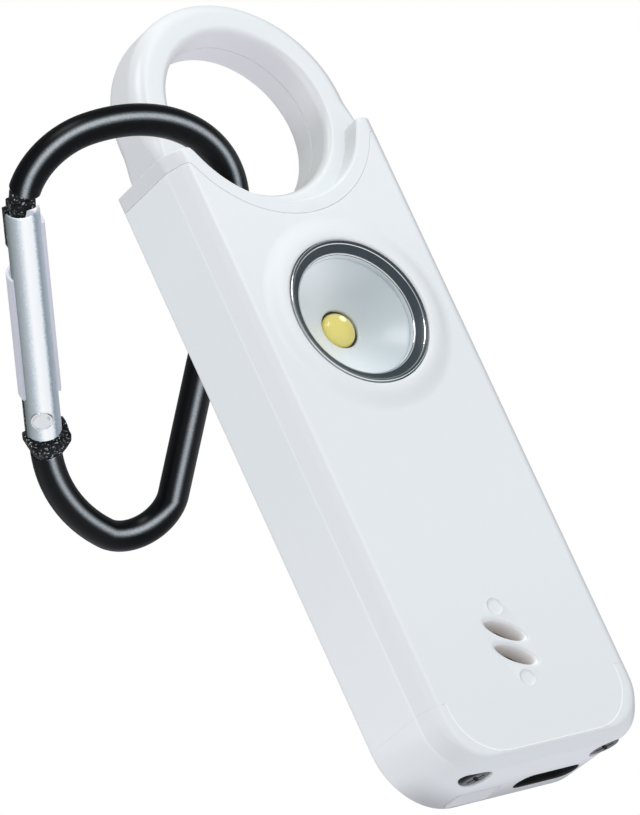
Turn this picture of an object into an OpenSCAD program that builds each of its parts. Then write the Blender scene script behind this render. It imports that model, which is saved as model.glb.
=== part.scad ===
// Personal safety alarm: bar-shaped body, lamp, siren, pull-off top with ring, carabiner.
// Millimetres. Origin at the middle of the flat end face, front toward -Y, ring upward.

/* [Body] */
// Width of the body
body_w = 31; // [29:0.5:34]
// Depth of the body
body_d = 12.6; // [12:0.1:13.2]
// Wall thickness of the plastic shells
wall = 1.4; // [1.2:0.1:1.6]
// Front bevel, measured across the front
bevel_x = 1.4; // [1:0.1:2]
// Front bevel, measured along the side
bevel_y = 2.3; // [1.6:0.1:2.6]
// Bevel of the two rear edges
bevel_back = 0.9; // [0.6:0.1:1.2]
// Height of the seam between sleeve and pull-off top, at the sides
seam_z = 77.4; // [76:0.2:79]

/* [End cap] */
// Height of the end cap at the sides
cap_h = 8.2; // [7.6:0.2:9]
// Corner radius of the lower end
corner_r = 6.4; // [5.6:0.2:8]
// Height of the front bevel at the lower end
end_bevel = 1; // [0.6:0.1:1.2]
// Height of the rear bevel at the lower end
end_back = 0.3; // [0.2:0.1:0.6]
// Thickness of the floor
floor_t = 1.6; // [1.4:0.1:1.8]
// Half width of the front panel tongue
panel_x = 12.6; // [12:0.1:13]
// Lower edge of the front panel tongue
panel_z = 1.3; // [1.2:0.1:1.6]
// Corner radius of the front panel tongue
panel_r = 6; // [5:0.2:6.6]
// Seam between fixed shells
seam = 0.12; // [0.08:0.02:0.2]

/* [End screws] */
// Distance of each screw from the middle
screw_x = 9.66; // [9.2:0.1:10]
// Position of the screws in depth
screw_y = -2.25; // [-2.5:0.05:-2]
// Head diameter
screw_head = 3.7; // [3.4:0.1:3.8]
// Shank diameter
screw_d = 2; // [1.8:0.1:2.2]
// Length under the head
screw_len = 6.6; // [6:0.2:7]

/* [Charging socket] */
// Socket position across the body
port_x = 4.4; // [3.6:0.1:4.8]
// Distance of the socket's middle from the back
port_back = 3.4; // [3.2:0.05:3.5]
// Width of the socket shell
port_w = 8.94; // [8.9:0.01:9]
// Height of the socket shell
port_h = 3.2; // [3.16:0.01:3.26]
// Length of the socket shell
port_len = 7.3; // [7:0.1:8]
// Room between socket shell and end cap
port_room = 0.12; // [0.08:0.02:0.2]

/* [Pull-off top] */
// Height of the ring centre above the side seam
ring_up = 6; // [5.6:0.1:7]
// Radius of the hole
hole_r = 10.5; // [10:0.05:11]
// Inset of the ring from the body's sides
ring_in = 0.6; // [0.1:0.05:0.8]
// Front of the ring, in depth
ring_front = -3.7; // [-3.8:0.05:-3.5]
// Back of the ring, in depth
ring_back = 3.5; // [3.1:0.05:3.6]
// Edge rounding of the ring
ring_round = 2; // [1.6:0.05:2.1]
// Radius of the collar lip round the ring
lip_r = 12.8; // [12.4:0.1:13]
// Radius of the saddle seam
saddle_r = 14.6; // [14.4:0.05:14.8]
// Height of the collar above the side seam
horn_h = 2; // [1.6:0.1:2.4]
// Room between pull-off top and sleeve
pull_room = 0.22; // [0.15:0.01:0.3]
// Guide tongue distance from the body's sides
guide_in = 3.4; // [3.2:0.05:3.6]
// Guide tongue width
guide_w = 1.8; // [1.4:0.1:2]
// Guide tongue depth
guide_d = 4.6; // [4:0.2:5]
// Guide tongue length below the side seam
guide_len = 5.8; // [4.4:0.2:6.4]
// Room round each guide tongue
guide_room = 0.3; // [0.25:0.05:0.35]

/* [Pull pin and switch] */
// Pin radius
pin_r = 1.25; // [1.1:0.05:1.4]
// Pin distance behind the main board
pin_off = 1.2; // [1.1:0.05:1.3]
// Length of the pin inside the pull-off top
pin_in = 2.6; // [2:0.1:2.8]
// Room between pin and plunger
pin_gap = 0.15; // [0.1:0.05:0.3]
// Room round the pin in the roof
pin_room = 0.3; // [0.3:0.02:0.4]
// Plunger radius
plunger_r = 0.9; // [0.8:0.05:1]
// Room round the plunger
plunger_room = 0.06; // [0.04:0.01:0.1]
// Plunger length above the switch
plunger_out = 2.1; // [1.8:0.1:2.3]
// Width of the switch
switch_w = 6; // [5.6:0.1:6.6]
// Lower end of the switch below the lamp centre
switch_drop = 1.67; // [1:0.1:2.4]
// Height of the switch
switch_h = 6; // [5.6:0.1:6.2]
// Depth of the switch
switch_d = 3; // [2.8:0.05:3.2]

/* [Lamp] */
// Lamp centre below the side seam
lamp_drop = 21.73; // [20.6:0.1:22.4]
// Outer radius of the bezel
bezel_r = 9.05; // [8.8:0.05:9.15]
// Radius of the hole in the bezel
bezel_in = 7.4; // [7.2:0.05:7.5]
// Height of the boss round the lamp
boss_h = 0.6; // [0.4:0.05:0.8]
// Foot radius of the boss
boss_r = 11.6; // [11:0.1:12.4]
// Radius of the bezel neck
neck_r = 8.5; // [8.4:0.02:8.6]
// Bore of the bezel neck
neck_in = 7.9; // [7.8:0.02:8]
// Room round the lamp parts
lamp_room = 0.08; // [0.05:0.01:0.12]
// Window thickness
lens_t = 0.5; // [0.4:0.05:0.6]
// Narrow end of the reflector
reflector_in = 2.6; // [2.5:0.05:2.8]
// Radius of the light emitter
dome_r = 2.3; // [2.1:0.05:2.4]
// Side of the lamp board
lamp_board = 12; // [11:0.2:13]
// Thickness of the lamp board
lamp_board_t = 1; // [0.8:0.05:1.1]
// Spacer between lamp board and main board
spacer_t = 1.2; // [1:0.05:1.3]

/* [Boards] */
// Room between main board and side walls
board_room = 0.4; // [0.3:0.05:0.7]
// Thickness of the main board
board_t = 1; // [0.9:0.02:1.04]
// Lower edge of the main board
board_low = 2.2; // [2:0.1:3]
// Upper edge of the main board above the lamp centre
board_up = 5.73; // [5:0.1:6]
// Length of the board rails
rail_len = 42; // [38:1:43]
// Room between board and rails
rail_room = 0.1; // [0.06:0.02:0.14]

/* [Battery] */
// Battery width
cell_w = 20; // [18:0.5:22]
// Room between siren and battery
cell_gap = 1.5; // [1.2:0.1:2.5]
// Room between battery and lamp board
tab_room = 5.17; // [4.6:0.1:7]
// Room in front of the battery
cell_room = 0.6; // [0.4:0.05:1]
// Foam pad thickness
pad_t = 0.4; // [0.3:0.05:0.5]

/* [Siren] */
// Height of the siren centre
siren_z = 15.5; // [15.4:0.1:16]
// Radius of the siren
siren_r = 9; // [8.6:0.1:9.2]
// Wall of the siren case
siren_wall = 0.8; // [0.7:0.05:1]
// Thickness of the sounding disc
disc_t = 0.3; // [0.2:0.05:0.4]
// Thickness of the foam gasket
gasket_t = 0.6; // [0.5:0.05:0.7]
// Width of a sound slot
slot_w = 1.6; // [1.4:0.1:1.8]
// Length of a sound slot
slot_len = 5.1; // [4.8:0.1:5.6]
// Rim width round a sound slot
slot_rim = 0.4; // [0.3:0.05:0.6]
// Tilt of the sound slots
slot_turn = -30; // [-34:1:-26]
// Spacing of slots and dimples
slot_step = 3; // [2.8:0.1:3.2]
// Diameter of the dimples
dimple_d = 1.9; // [1.7:0.1:2.1]

/* [Carabiner] */
// Radius of the bent rod
rod_r = 1.85; // [1.7:0.05:1.9]
// Bend radius beside the nose
nose_bend = 8.8; // [8.5:0.1:9.1]
// Bend radius of the wide shoulder
wide_bend = 17.2; // [16.9:0.1:17.5]
// Height of the arch above the heel
arch_y = 44.8; // [44.4:0.1:45.2]
// Lean of the spine
spine_lean = 15.3; // [15:0.1:15.6]
// Length of the spine
spine_len = 37.85; // [37.5:0.05:38.2]
// Bend radius at the narrow end
foot_bend = 5.3; // [5.1:0.1:5.5]
// End of the full rod below the heel
heel_y = 0.3; // [0:0.1:0.6]
// Rivet height above the heel
rivet_y = 6.7; // [6.5:0.02:6.9]
// Rivet shank radius
rivet_r = 0.8; // [0.7:0.05:0.85]
// Rivet head radius
rivet_head = 1.3; // [1.2:0.05:1.4]
// Running room of the gate on its rivet
rivet_room = 0.05; // [0.03:0.01:0.08]
// Gate outer radius
gate_r = 2.1; // [2:0.02:2.14]
// Gate sheet thickness
gate_t = 0.48; // [0.4:0.02:0.5]
// Gate lower end
gate_low = 3.44; // [3.4:0.02:3.6]
// Gate upper end
gate_top = 37; // [36.5:0.05:37.2]
// Nose shoulder
nose_y = 39.2; // [39:0.02:39.4]
// Nose tongue length
nose_len = 4.2; // [3.8:0.1:4.6]
// Half width of nose and heel tongues
tongue_x = 1.05; // [0.95:0.05:1.1]
// Half thickness of nose and heel tongues
tongue_n = 0.8; // [0.7:0.02:0.84]
// Wire radius of the gate spring
wire_r = 0.18; // [0.15:0.01:0.2]
// Curls of the gate spring
curls = 9; // [7:1:9]
// Length of the gate spring
spring_len = 8.4; // [8:0.1:9]
// Gate spring above the rivet
spring_up = 1.7; // [1.6:0.1:2]
// Heel of the carabiner left of the middle
hang_x = 17.022; // [16.9:0.002:17.1]
// Heel of the carabiner behind the back
hang_y = 27.871; // [27.8:0.001:28]
// Heel of the carabiner below the ring centre
hang_z = 21.58; // [21.5:0.01:21.7]

/* [Hidden] */
$fn = 96;
hw = body_w / 2;
hd = body_d / 2;
front = -hd;
inner_front = front + wall;
lens_front = front + 0.3;
lens_back = lens_front + lens_t;
port_y = hd - port_back;
board_w = body_w - 2 * (wall + board_room);
board_y = port_y - port_h / 2 - board_t;
board_back = board_y + board_t;
lamp_board_y = board_y - spacer_t - lamp_board_t;
cone_back = lamp_board_y;
ring_z = seam_z + ring_up;
ring_r = hw - ring_in;
ring_edge = min(ring_round, (ring_r - hole_r) / 2 - 0.05);
guide_x = hw - guide_in;
guide_z = seam_z - guide_len;
lamp_z = seam_z - lamp_drop;
switch_z = lamp_z - switch_drop;
plunger_top = switch_z + switch_h + plunger_out;
pin_y = board_back + pin_off;
pin_low = plunger_top + pin_gap;
pin_top = ring_z - saddle_r + pin_in;
board_top = lamp_z + board_up;
cell_back = board_y - pad_t;
cell_low = siren_z + siren_r + cell_gap;
cell_len = lamp_z - lamp_board / 2 - tab_room - cell_low;
cell_t = cell_back - inner_front - cell_room;
siren_front = inner_front + gasket_t;
disc_y = siren_front + 1.1;
head_low = 0.2;
head_t = 1.2;
post_top = floor_t + 1.5;
boss_low = post_top + 0.1;
boss_t = 5.8;
tube_in = gate_r - gate_t;
nose_cy = arch_y - nose_bend;
nose_turn = asin(max(nose_y - nose_cy, 0) / nose_bend);
wide_cy = arch_y - wide_bend;
lean_n = [cos(spine_lean), -sin(spine_lean)];
lean_t = [-sin(spine_lean), -cos(spine_lean)];
spine_top = [nose_bend, wide_cy] + wide_bend * lean_n;
foot_c = [nose_bend, wide_cy] + (wide_bend - foot_bend) * lean_n + spine_len * lean_t;
foot_end = 138.6;
foot_p = foot_c + foot_bend * [cos(foot_end), -sin(foot_end)];
heel_bend = foot_p[0] / (1 - cos(180 - foot_end));
heel_cy = foot_p[1] + heel_bend * sin(180 - foot_end);
heel_stop = asin((heel_cy - heel_y) / heel_bend);
rod_sides = 28;
carabiner_at = [-hang_x, hd + hang_y, ring_z - hang_z];
carabiner_turn = [150.479, -0.608, -22.832];
spring_low = rivet_y + spring_up;
spring_top = spring_low + spring_len;
coil_r = tube_in - wire_r - 0.22;
coil_pitch = (spring_top - spring_low) / curls;
echo("gate spring gap between curls", coil_pitch - 2 * wire_r);

// Outline of the body seen from above, drawn in by a distance.
function plan(in) = let (w = hw - in, d = hd - in) [
    [-w + bevel_x, -d], [w - bevel_x, -d], [w, -d + bevel_y], [w, d - bevel_back],
    [w - bevel_back, d], [-w + bevel_back, d], [-w, d - bevel_back], [-w, -d + bevel_y]];

// Upright prism of the body outline.
module body_prism(z0, z1, in = 0) {
    translate([0, 0, z0])
        linear_extrude(z1 - z0)
            polygon(plan(in));
}

// Flat shape in X and Z, given depth in Y.
module xz_prism(y0, y1) {
    translate([0, y1, 0])
        rotate([90, 0, 0])
            linear_extrude(y1 - y0)
                children();
}

// Cylinder along Y.
module y_rod(r, y0, y1, x, z) {
    translate([x, y1, z])
        rotate([90, 0, 0])
            cylinder(r = r, h = y1 - y0);
}

// Turned shape whose upright axis points out of the front.
module turned(z) {
    translate([0, 0, z])
        rotate([90, 0, 0])
            rotate_extrude()
                children();
}

// Tall outline with rounded lower corners.
module tongue_outline(w, low, r, top) {
    translate([-w, low + r])
        square([2 * w, top - low - r]);
    translate([-w + r, low])
        square([2 * (w - r), r + 0.01]);
    translate([-w + r, low + r])
        circle(r);
    translate([w - r, low + r])
        circle(r);
}

// Rectangle with rounded corners about its middle.
module round_rect(w, h, r) {
    square([w - 2 * r, h], center = true);
    square([w, h - 2 * r], center = true);
    for (sx = [-1, 1])
        for (sy = [-1, 1])
            translate([sx * (w / 2 - r), sy * (h / 2 - r)])
                circle(r);
}

// Stadium about its middle.
module stadium(w, h) {
    square([w - h, h], center = true);
    translate([-(w - h) / 2, 0])
        circle(h / 2);
    translate([(w - h) / 2, 0])
        circle(h / 2);
}

// Tilted sound slot shape.
module slot_shape(z, grow) {
    translate([0, z])
        rotate(slot_turn)
            stadium(slot_len + 2 * grow, slot_w + 2 * grow);
}

// White sleeve with lamp boss, sound slots and the front panel tongue.
module housing() {
    color("#E3E8EA")
    difference() {
        union() {
            difference() {
                body_prism(cap_h + seam / 2, seam_z);
                body_prism(cap_h - 1, seam_z - wall, wall);
            }
            intersection() {
                body_prism(cap_h + 1, seam_z);
                y_rod(saddle_r + wall, front, hd, 0, ring_z);
            }
            xz_prism(front, inner_front)
                tongue_outline(panel_x - seam, panel_z + seam, panel_r, cap_h + 1.5);
            translate([0, front + 0.01, lamp_z])
                rotate([90, 0, 0])
                    cylinder(r1 = boss_r, r2 = bezel_r + 0.6, h = boss_h);
            for (s = [-1, 1]) {
                translate([s * screw_x, screw_y, boss_low])
                    cylinder(r = 2.1, h = boss_t);
                translate([s * screw_x - 1, inner_front - 0.1, boss_low])
                    cube([2, screw_y - inner_front, boss_t]);
                for (y = [board_y - rail_room - 0.9, board_back + rail_room])
                    translate([s > 0 ? board_w / 2 - 1 : -hw + wall - 0.1, y, cap_h + 3])
                        cube([hw - wall + 1.1 - board_w / 2, 0.9, rail_len]);
            }
        }
        y_rod(saddle_r, front - 1, hd + 1, 0, ring_z);
        y_rod(neck_r + lamp_room, front - 2, 0, 0, lamp_z);
        y_rod(bezel_r + lamp_room, front - 2, front + 0.4, 0, lamp_z);
        for (i = [-0.5, 0.5]) {
            xz_prism(front - 1, inner_front + 0.1)
                slot_shape(siren_z - 2 + i * slot_step, 0);
            xz_prism(front - 1, front + 0.35)
                slot_shape(siren_z - 2 + i * slot_step, slot_rim);
        }
        for (i = [-1.5, 1.5])
            y_rod(dimple_d / 2, front - 1, front + 0.35, 0, siren_z - 2 + i * slot_step);
        for (s = [-1, 1]) {
            translate([s * screw_x, screw_y, boss_low - 1])
                cylinder(r = screw_d / 2 + 0.02, h = boss_t + 2);
            translate([s * guide_x - guide_w / 2 - guide_room,
                       -guide_d / 2 - guide_room + (ring_front + ring_back) / 2, guide_z - 1])
                cube([guide_w + 2 * guide_room, guide_d + 2 * guide_room, seam_z - guide_z + 2]);
        }
        translate([0, pin_y, ring_z - saddle_r - wall - 2])
            cylinder(r = pin_r + pin_room, h = wall + 4);
    }
}

// White end cap, a cup round the panel tongue with socket opening and screw pockets.
module end_cap() {
    color("#DDE1E4")
    difference() {
        intersection() {
            hull() {
                xz_prism(front, front + 0.02)
                    tongue_outline(hw - bevel_x, end_bevel, corner_r - 1, cap_h + 4, $fn = 48);
                xz_prism(front + bevel_y, hd - bevel_back)
                    tongue_outline(hw, 0, corner_r, cap_h + 4, $fn = 48);
                xz_prism(hd - 0.02, hd)
                    tongue_outline(hw - bevel_back, end_back, corner_r - end_back, cap_h + 4, $fn = 48);
            }
            translate([-hw, front, 0])
                cube([body_w, body_d, cap_h - seam / 2]);
        }
        difference() {
            intersection() {
                body_prism(floor_t, cap_h + 1, wall);
                xz_prism(front, hd)
                    tongue_outline(hw - wall, floor_t, corner_r - wall, cap_h + 1);
            }
            for (s = [-1, 1])
                translate([s * screw_x, screw_y, 0])
                    cylinder(r = 2.4, h = post_top);
        }
        xz_prism(front - 1, inner_front + 0.01)
            tongue_outline(panel_x, panel_z, panel_r, cap_h + 1);
        translate([port_x, port_y, -1])
            linear_extrude(floor_t + 2)
                stadium(port_w + 2 * port_room, port_h + 2 * port_room);
        for (s = [-1, 1]) {
            translate([s * screw_x, screw_y, -1])
                cylinder(r = screw_d / 2 + 0.15, h = post_top + 2);
            translate([s * screw_x, screw_y, -1])
                cylinder(r = screw_head / 2 + 0.1, h = 1 + head_low + head_t);
        }
        translate([-6.6, port_y + 0.85, -1])
            linear_extrude(1.2)
                difference() {
                    round_rect(7.2, 3.6, 0.8);
                    round_rect(6.8, 3.2, 0.6);
                }
    }
}

// Two cross-head screws that hold the end cap.
module end_screws() {
    color("#2B2E31")
    for (s = [-1, 1])
        translate([s * screw_x, screw_y, head_low])
            difference() {
                union() {
                    cylinder(r = screw_head / 2, h = head_t);
                    cylinder(r = screw_d / 2, h = head_t + screw_len);
                }
                for (a = [45, 135])
                    rotate([0, 0, a])
                        translate([-1.15, -0.22, -1])
                            cube([2.3, 0.44, 1.7]);
            }
}

// Ring section of the pull-off top.
module ring_section() {
    translate([(hole_r + ring_r) / 2, (ring_front + ring_back) / 2])
        round_rect(ring_r - hole_r, ring_back - ring_front, ring_edge);
}

// White pull-off top: collar, ring, side legs and guide tongues.
module pull_top() {
    mid = (ring_front + ring_back) / 2;
    color("#E3E8EA")
    difference() {
        union() {
            difference() {
                union() {
                    difference() {
                        body_prism(ring_z - saddle_r, seam_z + horn_h);
                        y_rod(lip_r, front - 1, hd + 1, 0, ring_z);
                    }
                    translate([0, 0, ring_z])
                        rotate([90, 0, 0])
                            rotate_extrude()
                                mirror([0, 1])
                                    ring_section();
                    for (s = [0, 1])
                        mirror([s, 0, 0])
                            translate([0, 0, seam_z])
                                linear_extrude(ring_z - seam_z)
                                    ring_section();
                }
                difference() {
                    translate([-hw - 1, front - 1, 0])
                        cube([body_w + 2, body_d + 2, seam_z + pull_room]);
                    y_rod(saddle_r - pull_room, front - 2, hd + 2, 0, ring_z);
                }
            }
            for (s = [-1, 1])
                translate([s * guide_x - guide_w / 2, mid - guide_d / 2, guide_z])
                    cube([guide_w, guide_d, seam_z + 1 - guide_z]);
        }
        translate([0, pin_y, ring_z - saddle_r - 1])
            cylinder(r = pin_r, h = pin_top - ring_z + saddle_r + 1);
        y_rod(hole_r, front - 1, hd + 1, 0, ring_z);
    }
}

// Steel pin that holds the switch down.
module pull_pin() {
    color("#B9BDC1")
    translate([0, pin_y, pin_low])
        cylinder(r = pin_r, h = pin_top - pin_low);
}

// Dark chromed bezel with a dished face and a neck.
module bezel_ring() {
    color("#3B464D")
    turned(lamp_z)
        polygon([[bezel_in, -lens_front], [bezel_r - 0.2, hd + boss_h], [bezel_r, hd + boss_h - 0.2],
                 [bezel_r, hd - 0.4 + lamp_room], [neck_r, hd - 0.4 + lamp_room],
                 [neck_r, hd - 2.1], [neck_in, hd - 2.1], [neck_in, -lens_front - 0.05],
                 [bezel_in, -lens_front - 0.05]]);
}

// Clear window behind the bezel.
module lens_window() {
    color([0.9, 0.95, 1, 0.3])
    y_rod(neck_in - lamp_room, lens_front + 0.1, lens_back + 0.05, 0, lamp_z);
}

// Pale conical reflector.
module reflector() {
    color("#E8E9E6")
    turned(lamp_z)
        polygon([[bezel_in - 0.05, -lens_back - 0.1], [neck_in - lamp_room, -lens_back - 0.1],
                 [neck_in - lamp_room, -lens_back - 0.9], [reflector_in + 0.8, -cone_back + 0.02],
                 [reflector_in, -cone_back + 0.02], [reflector_in, -cone_back + 0.4]]);
}

// Yellow light emitter.
module led_dome() {
    color("#E0D878")
    turned(lamp_z)
        intersection() {
            translate([0, -cone_back - 1.6])
                circle(3);
            translate([0, -cone_back + 0.03])
                square([dome_r, 4]);
        }
}

// Small board that carries the light emitter.
module led_board() {
    color("#E6E6DF")
    translate([-lamp_board / 2, lamp_board_y, lamp_z - lamp_board / 2])
        cube([lamp_board, lamp_board_t, lamp_board]);
}

// Main circuit board.
module main_board() {
    color("#1F6B3E")
    translate([-board_w / 2 + 0.1, board_y, board_low])
        difference() {
            translate([0, 0, 6.6])
                cube([board_w - 0.2, board_t, board_top - board_low - 6.6]);
            translate([-1, -1, board_top - board_low - 3])
                cube([4, board_t + 2, 4]);
        }
    color("#1F6B3E")
    translate([-7, board_y, board_low])
        cube([16.4, board_t, 7]);
}

// Components soldered to the main board.
module board_chips() {
    color("#26282B") {
        translate([-6, board_back, 39])
            cube([5, 1, 5]);
        translate([3, board_back, 41])
            cube([3.2, 0.9, 4]);
        translate([-9.5, board_back, 12])
            cube([3, 1.1, 3]);
        translate([-3, board_back, 24])
            cube([6, 3, 6]);
        translate([6.5, board_back, 27])
            cube([3.4, 1.8, 2.6]);
        translate([6.5, board_back, 20])
            cube([3.4, 1.8, 2.6]);
        translate([-3, lamp_board_y + lamp_board_t, lamp_z - 5.07])
            cube([6, spacer_t, 2.2]);
    }
}

// Steel shell of the charging socket.
module usb_shell() {
    color("#9BA0A4")
    translate([port_x, port_y, 0.9])
        difference() {
            linear_extrude(port_len)
                stadium(port_w, port_h);
            translate([0, 0, -1])
                linear_extrude(port_len - 0.2)
                    stadium(port_w - 0.6, port_h - 0.6);
        }
}

// Contact tongue of the charging socket.
module usb_tongue() {
    color("#17181A")
    translate([port_x, port_y, 0.9]) {
        translate([-3.35, -0.35, 0.7])
            cube([6.7, 0.7, port_len - 2.1]);
        translate([0, 0, port_len - 2.6])
            linear_extrude(1.3)
                stadium(port_w - 0.64, port_h - 0.64);
    }
}

// Flat battery cell.
module battery_cell() {
    color("#B7BBBF")
    translate([0, cell_back - cell_t / 2, cell_low])
        linear_extrude(cell_len)
            round_rect(cell_w, cell_t, 1.2);
}

// Foam pad that seats the battery on the board.
module battery_pad() {
    color("#3A3A3C")
    translate([-cell_w / 2 + 1.5, cell_back, cell_low + 1])
        cube([cell_w - 3, pad_t, cell_len - 2]);
}

// Two tabs from the battery to the board.
module battery_tabs() {
    color("#C9CDD0")
    for (s = [-1, 1])
        translate([s * 5 - 1, 0, cell_low + cell_len]) {
            translate([0, cell_back - 1.4, 0])
                cube([2, 0.2, 1]);
            translate([0, cell_back - 1.4, 0.8])
                cube([2, 1.4 + pad_t, 0.2]);
        }
}

// Siren case, an open drum on the board.
module siren_case() {
    color("#1D1E20")
    turned(siren_z)
        polygon([[0, -board_y], [siren_r, -board_y], [siren_r, -siren_front],
                 [siren_r - siren_wall, -siren_front], [siren_r - siren_wall, -disc_y - disc_t],
                 [siren_r - siren_wall - 0.9, -disc_y - disc_t], [siren_r - siren_wall - 0.9, -board_y + 0.9],
                 [0, -board_y + 0.9]]);
}

// Brass sounding disc.
module siren_disc() {
    color("#B08D57")
    y_rod(siren_r - siren_wall - 0.06, disc_y, disc_y + disc_t, 0, siren_z);
}

// Foam gasket between siren and front wall.
module siren_gasket() {
    color("#2A2A2C")
    difference() {
        y_rod(siren_r - 0.1, inner_front, siren_front, 0, siren_z);
        y_rod(siren_r - 1.5, inner_front - 1, siren_front + 1, 0, siren_z);
    }
}

// Switch on the back of the board.
module switch_body() {
    color("#202124")
    difference() {
        translate([-switch_w / 2, board_back, switch_z])
            cube([switch_w, switch_d, switch_h]);
        translate([0, pin_y, switch_z + 2])
            cylinder(r = plunger_r + plunger_room, h = switch_h);
    }
}

// Plunger of the switch.
module switch_plunger() {
    color("#D8D8D2")
    translate([0, pin_y, switch_z + 2.4])
        cylinder(r = plunger_r, h = plunger_top - switch_z - 2.4);
}

// Places the carabiner and its parts on the ring.
module on_ring() {
    translate(carabiner_at)
        rotate(carabiner_turn)
            children();
}

// Stations along a bend of the rod: position and outward direction.
function bend(c, r, a0, a1, n, first) = [for (i = [first : n]) let (a = a0 + (a1 - a0) * i / n)
    [c[0] + r * cos(a), c[1] + r * sin(a), a]];

// Ring of points round the rod at one station.
function rod_ring(p) = [for (k = [0 : rod_sides - 1]) let (t = 360 * k / rod_sides)
    [p[0] + rod_r * cos(t) * cos(p[2]), p[1] + rod_r * cos(t) * sin(p[2]), rod_r * sin(t)]];

// Bent rod as one smooth tube from nose to heel.
module bent_rod() {
    m = rod_sides;
    run = concat(nose_y < nose_cy ? [[0, nose_y, 180]] : [],
                 bend([nose_bend, nose_cy], nose_bend, 180 - nose_turn, 90, 16, 0),
                 bend([nose_bend, wide_cy], wide_bend, 90, -spine_lean, 22, 1),
                 bend(foot_c, foot_bend, -spine_lean, -foot_end, 18, 0),
                 bend([heel_bend, heel_cy], heel_bend, -foot_end, -180 + heel_stop, 8, 1));
    last = len(run) - 1;
    skin = [for (i = [0 : last - 1]) for (k = [0 : m - 1]) let (a = m * i + k, b = m * i + (k + 1) % m) each
            [[a, b + m, b], [a, a + m, b + m]]];
    polyhedron(points = [for (p = run) each rod_ring(p)],
               faces = concat(skin, [[for (k = [0 : m - 1]) k], [for (k = [1 : m]) m * last + m - k]]));
}

// Bent rod of the carabiner with nose and heel.
module carabiner_body() {
    color("#111316")
    on_ring()
        difference() {
            union() {
                bent_rod();
                translate([-tongue_x, nose_y - nose_len, -tongue_n])
                    cube([2 * tongue_x, nose_len + 0.5, 2 * tongue_n]);
                translate([0.15, heel_y + 0.9, -1.1])
                    linear_extrude(2.2)
                        round_rect(4.6, 3, 0.7);
                translate([0, 0, -tongue_n])
                    linear_extrude(2 * tongue_n) {
                        polygon([[-tongue_x, heel_y + 1.4], [0.3, heel_y + 1.4], [0.3, heel_y + 2.7],
                                 [tongue_x, rivet_y - 0.7], [tongue_x, rivet_y], [-tongue_x, rivet_y]]);
                        translate([0, rivet_y])
                            circle(tongue_x);
                    }
            }
            translate([0, rivet_y, -5])
                cylinder(r = rivet_r, h = 10);
        }
}

// Folded sheet gate, open on its outer side.
module carabiner_gate() {
    color("#B4B7BA")
    on_ring()
        difference() {
            translate([0, gate_low, 0])
                rotate([-90, 0, 0])
                    linear_extrude(gate_top - gate_low)
                        difference() {
                            circle(gate_r);
                            circle(tube_in);
                            polygon([[0, 0], [-4, 2.7], [-4, -2.7]]);
                        }
            translate([0, rivet_y, -5])
                cylinder(r = rivet_r + rivet_room, h = 10);
        }
}

// Rivet that carries the gate.
module gate_rivet() {
    color("#9EA2A5")
    on_ring()
        translate([0, rivet_y, 0]) {
            cylinder(r = rivet_r, h = 2 * gate_r + 0.4, center = true);
            for (s = [0, 1])
                mirror([0, 0, s])
                    translate([0, 0, gate_r + 0.06])
                        cylinder(r1 = rivet_head, r2 = rivet_head - 0.35, h = 0.4);
        }
}

// Ring of points round the spring wire at one step of its run.
function coil_ring(i) = let (a = 45 * i, y = spring_low + wire_r + coil_pitch * i / 8)
    [for (k = [0 : 5]) let (t = 60 * k, r = coil_r + wire_r * cos(t))
        [r * cos(a), y + wire_r * sin(t), r * sin(a)]];

// Coil spring inside the gate.
module gate_spring() {
    steps = 8 * curls - 3;
    rings = [for (i = [0 : steps]) each coil_ring(i)];
    sides = [for (i = [0 : steps - 1]) for (k = [0 : 5]) let (a = 6 * i + k, b = 6 * i + (k + 1) % 6) each
             [[a, b, b + 6], [a, b + 6, a + 6]]];
    color("#8F9396")
    on_ring()
        polyhedron(points = rings,
                   faces = concat(sides, [[5, 4, 3, 2, 1, 0], [for (k = [0 : 5]) 6 * steps + k]]));
}

housing();
end_cap();
end_screws();
pull_top();
pull_pin();
bezel_ring();
lens_window();
reflector();
led_dome();
led_board();
main_board();
board_chips();
usb_shell();
usb_tongue();
battery_cell();
battery_pad();
battery_tabs();
siren_case();
siren_disc();
siren_gasket();
switch_body();
switch_plunger();
carabiner_body();
carabiner_gate();
gate_rivet();
gate_spring();
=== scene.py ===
import bpy
import bmesh
import math
from mathutils import Vector, Matrix
from mathutils.bvhtree import BVHTree
from mathutils.geometry import delaunay_2d_cdt
from mathutils.kdtree import KDTree


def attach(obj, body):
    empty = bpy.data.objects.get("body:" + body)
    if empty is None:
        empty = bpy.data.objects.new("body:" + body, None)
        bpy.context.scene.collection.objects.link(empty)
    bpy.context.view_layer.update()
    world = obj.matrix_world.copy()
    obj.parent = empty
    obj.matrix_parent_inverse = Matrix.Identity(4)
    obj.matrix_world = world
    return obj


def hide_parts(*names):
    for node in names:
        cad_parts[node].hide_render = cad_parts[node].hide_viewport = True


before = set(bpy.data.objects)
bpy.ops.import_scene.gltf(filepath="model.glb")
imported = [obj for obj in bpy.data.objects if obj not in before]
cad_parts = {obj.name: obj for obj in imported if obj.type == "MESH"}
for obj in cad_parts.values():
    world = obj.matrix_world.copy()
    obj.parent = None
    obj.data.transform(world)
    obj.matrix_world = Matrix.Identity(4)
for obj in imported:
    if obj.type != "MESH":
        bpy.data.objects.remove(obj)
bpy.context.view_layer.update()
mm = 0.001
xAxis, yAxis, zAxis = Vector((1, 0, 0)), Vector((0, 1, 0)), Vector((0, 0, 1))
scene = bpy.context.scene
print("stage: frame loaded")

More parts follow.
